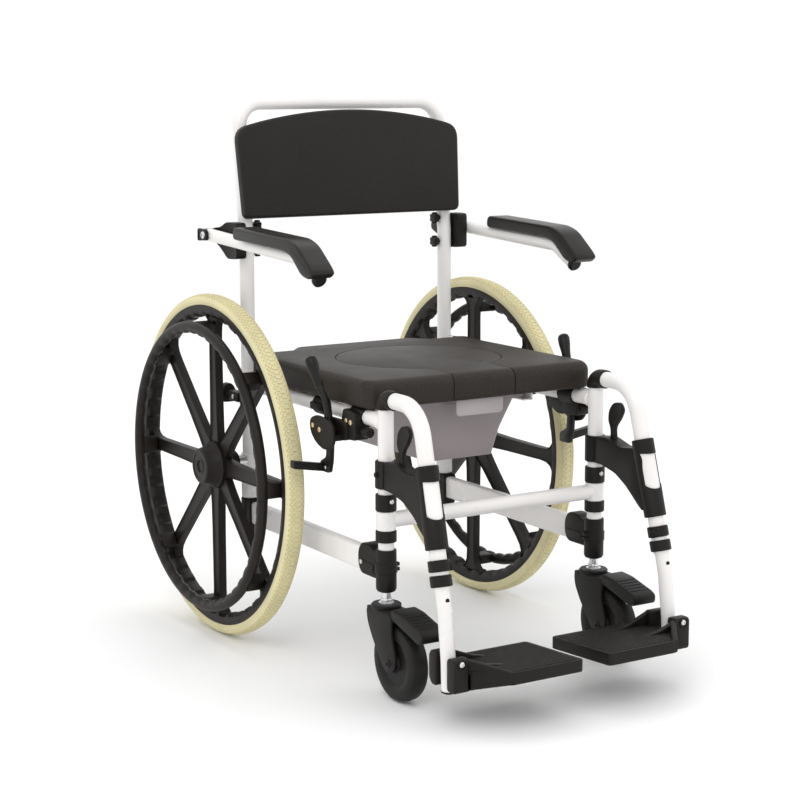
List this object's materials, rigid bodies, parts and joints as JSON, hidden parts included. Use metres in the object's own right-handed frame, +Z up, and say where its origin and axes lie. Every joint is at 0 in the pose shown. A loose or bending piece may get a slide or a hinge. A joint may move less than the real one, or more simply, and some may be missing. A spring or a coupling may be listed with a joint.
{
  "type": "commode chair",
  "caption": "Self-propelled commode chair: spoked rear wheels, front castors, pan under a padded seat with insert, flip-up armrests, swing-away footrests.",
  "frame": {"origin": "on the floor, under the centre of the chair", "axes": "+Z up, the chair faces -Y, +X is the sitter's left"},
  "size_m": [0.639, 1.041, 0.9391],
  "materials": {
    "frame_white": "white powder coat",
    "black_nylon": "satin black nylon",
    "brake_black": "black lacquer",
    "tyre_pu": "solid pale polyurethane",
    "rim_black": "satin moulded plastic",
    "castor_black": "satin moulded plastic",
    "arm_foam": "smooth skinned foam",
    "back_foam": "fine grained skinned foam",
    "seat_foam": "pebble grained skinned foam",
    "pan_grey": "smooth moulded plastic"
  },
  "bodies": {
    "chair": {"side_frame_left": "frame_white", "lower_rail_left": "frame_white", "leg_bracket_left": "black_nylon", "post_bracket_left": "black_nylon", "collar_upper_left": "black_nylon", "collar_lower_left": "black_nylon", "arm_bracket_left": "black_nylon", "brake_clamp_left": "black_nylon", "side_frame_right": "frame_white", "lower_rail_right": "frame_white", "leg_bracket_right": "black_nylon", "post_bracket_right": "black_nylon", "collar_upper_right": "black_nylon", "collar_lower_right": "black_nylon", "arm_bracket_right": "black_nylon", "brake_clamp_right": "black_nylon", "front_crossbar": "frame_white", "back_tube": "frame_white", "backrest": "back_foam", "seat": "seat_foam", "pan_cradle": "frame_white"},
    "wheel_left": {"wheel_tyre_left": "tyre_pu", "wheel_rim_left": "rim_black", "hand_rim_left": "rim_black"},
    "castor_left": {"castor_fork_left": "castor_black"},
    "castor_wheel_left": {"castor_wheel_left": "castor_black"},
    "castor_pedal_left": {"castor_pedal_left": "castor_black"},
    "hanger_left": {"hanger_tube_left": "frame_white", "hanger_bracket_left": "black_nylon", "leg_cap_left": "black_nylon", "ring_upper_left": "black_nylon", "ring_lower_left": "black_nylon"},
    "release_left": {"release_lever_left": "black_nylon"},
    "foot_tube_left": {"foot_tube_left": "frame_white"},
    "footplate_left": {"footplate_left": "black_nylon"},
    "arm_left": {"arm_tube_left": "frame_white", "arm_pad_left": "arm_foam"},
    "brake_lever_left": {"brake_lever_left": "brake_black"},
    "brake_shoe_left": {"brake_shoe_left": "brake_black"},
    "wheel_right": {"wheel_tyre_right": "tyre_pu", "wheel_rim_right": "rim_black", "hand_rim_right": "rim_black"},
    "castor_right": {"castor_fork_right": "castor_black"},
    "castor_wheel_right": {"castor_wheel_right": "castor_black"},
    "castor_pedal_right": {"castor_pedal_right": "castor_black"},
    "hanger_right": {"hanger_tube_right": "frame_white", "hanger_bracket_right": "black_nylon", "leg_cap_right": "black_nylon", "ring_upper_right": "black_nylon", "ring_lower_right": "black_nylon"},
    "release_right": {"release_lever_right": "black_nylon"},
    "foot_tube_right": {"foot_tube_right": "frame_white"},
    "footplate_right": {"footplate_right": "black_nylon"},
    "arm_right": {"arm_tube_right": "frame_white", "arm_pad_right": "arm_foam"},
    "brake_lever_right": {"brake_lever_right": "brake_black"},
    "brake_shoe_right": {"brake_shoe_right": "brake_black"},
    "pan": {"pan": "pan_grey"},
    "seat_lid": {"seat_lid": "seat_foam"}
  },
  "joints": [
    {"name": "wheel_left_spin", "type": "hinge", "parent": "chair", "child": "wheel_left", "pos_m": [0.2725, 0.2205, 0.3], "axis": [1, 0, 0], "continuous": true},
    {"name": "castor_left_swivel", "type": "hinge", "parent": "chair", "child": "castor_left", "pos_m": [0.205, -0.2415, 0.16], "axis": [0, 0, 1], "continuous": true},
    {"name": "castor_left_roll", "type": "hinge", "parent": "castor_left", "child": "castor_wheel_left", "pos_m": [0.205, -0.2845, 0.0625], "axis": [1, 0, 0], "continuous": true},
    {"name": "castor_left_brake", "type": "hinge", "parent": "castor_left", "child": "castor_pedal_left", "pos_m": [0.205, -0.2935, 0.145], "axis": [1, 0, 0], "range_deg": [0, 8]},
    {"name": "hanger_left_swing", "type": "hinge", "parent": "chair", "child": "hanger_left", "pos_m": [0.205, -0.2415, 0.355], "axis": [0, 0, 1], "range_deg": [0, 100]},
    {"name": "release_left_press", "type": "hinge", "parent": "hanger_left", "child": "release_left", "pos_m": [0.205, -0.2925, 0.374], "axis": [1, 0, 0], "range_deg": [0, 12], "stiffness_Nm_per_rad": 0.5, "springref_deg": -5.73},
    {"name": "foot_left_length", "type": "slide", "parent": "hanger_left", "child": "foot_tube_left", "axis": [0.0218, -0.2657, -0.9638], "range_m": [-0.012, 0.045]},
    {"name": "footplate_left_flip", "type": "hinge", "parent": "foot_tube_left", "child": "footplate_left", "pos_m": [0.212, -0.4325, 0.108], "axis": [0, 1, 0], "range_deg": [0, 85]},
    {"name": "arm_left_lift", "type": "hinge", "parent": "chair", "child": "arm_left", "pos_m": [0.251, 0.2655, 0.699], "axis": [1, 0, 0], "range_deg": [-95, 0]},
    {"name": "brake_left_pull", "type": "hinge", "parent": "chair", "child": "brake_lever_left", "pos_m": [0.24, -0.1245, 0.425], "axis": [1, 0, 0], "range_deg": [0, 50]},
    {"name": "brake_left_shoe", "type": "hinge", "parent": "chair", "child": "brake_shoe_left", "pos_m": [0.24, -0.1295, 0.404], "axis": [1, 0, 0], "range_deg": [0, 25]},
    {"name": "wheel_right_spin", "type": "hinge", "parent": "chair", "child": "wheel_right", "pos_m": [-0.2725, 0.2205, 0.3], "axis": [1, 0, 0], "continuous": true},
    {"name": "castor_right_swivel", "type": "hinge", "parent": "chair", "child": "castor_right", "pos_m": [-0.205, -0.2415, 0.16], "axis": [0, 0, 1], "continuous": true},
    {"name": "castor_right_roll", "type": "hinge", "parent": "castor_right", "child": "castor_wheel_right", "pos_m": [-0.205, -0.2845, 0.0625], "axis": [1, 0, 0], "continuous": true},
    {"name": "castor_right_brake", "type": "hinge", "parent": "castor_right", "child": "castor_pedal_right", "pos_m": [-0.205, -0.2935, 0.145], "axis": [1, 0, 0], "range_deg": [0, 8]},
    {"name": "hanger_right_swing", "type": "hinge", "parent": "chair", "child": "hanger_right", "pos_m": [-0.205, -0.2415, 0.355], "axis": [0, 0, 1], "range_deg": [-100, 0]},
    {"name": "release_right_press", "type": "hinge", "parent": "hanger_right", "child": "release_right", "pos_m": [-0.205, -0.2925, 0.374], "axis": [1, 0, 0], "range_deg": [0, 12], "stiffness_Nm_per_rad": 0.5, "springref_deg": -5.73},
    {"name": "foot_right_length", "type": "slide", "parent": "hanger_right", "child": "foot_tube_right", "axis": [-0.0218, -0.2657, -0.9638], "range_m": [-0.012, 0.045]},
    {"name": "footplate_right_flip", "type": "hinge", "parent": "foot_tube_right", "child": "footplate_right", "pos_m": [-0.212, -0.4325, 0.108], "axis": [0, 1, 0], "range_deg": [-85, 0]},
    {"name": "arm_right_lift", "type": "hinge", "parent": "chair", "child": "arm_right", "pos_m": [-0.251, 0.2655, 0.699], "axis": [1, 0, 0], "range_deg": [-95, 0]},
    {"name": "brake_right_pull", "type": "hinge", "parent": "chair", "child": "brake_lever_right", "pos_m": [-0.24, -0.1245, 0.425], "axis": [1, 0, 0], "range_deg": [0, 50]},
    {"name": "brake_right_shoe", "type": "hinge", "parent": "chair", "child": "brake_shoe_right", "pos_m": [-0.24, -0.1295, 0.404], "axis": [1, 0, 0], "range_deg": [0, 25]},
    {"name": "pan_slide", "type": "slide", "parent": "chair", "child": "pan", "axis": [0, -1, 0], "range_m": [0, 0.35]},
    {"name": "seat_lid_lift", "type": "slide", "parent": "chair", "child": "seat_lid", "axis": [0, 0, 1], "range_m": [0, 0.12]}
  ],
  "couplings": [
    {"joint": "brake_left_shoe", "follows": "brake_left_pull", "ratio": 0.5},
    {"joint": "brake_right_shoe", "follows": "brake_right_pull", "ratio": 0.5}
  ]
}
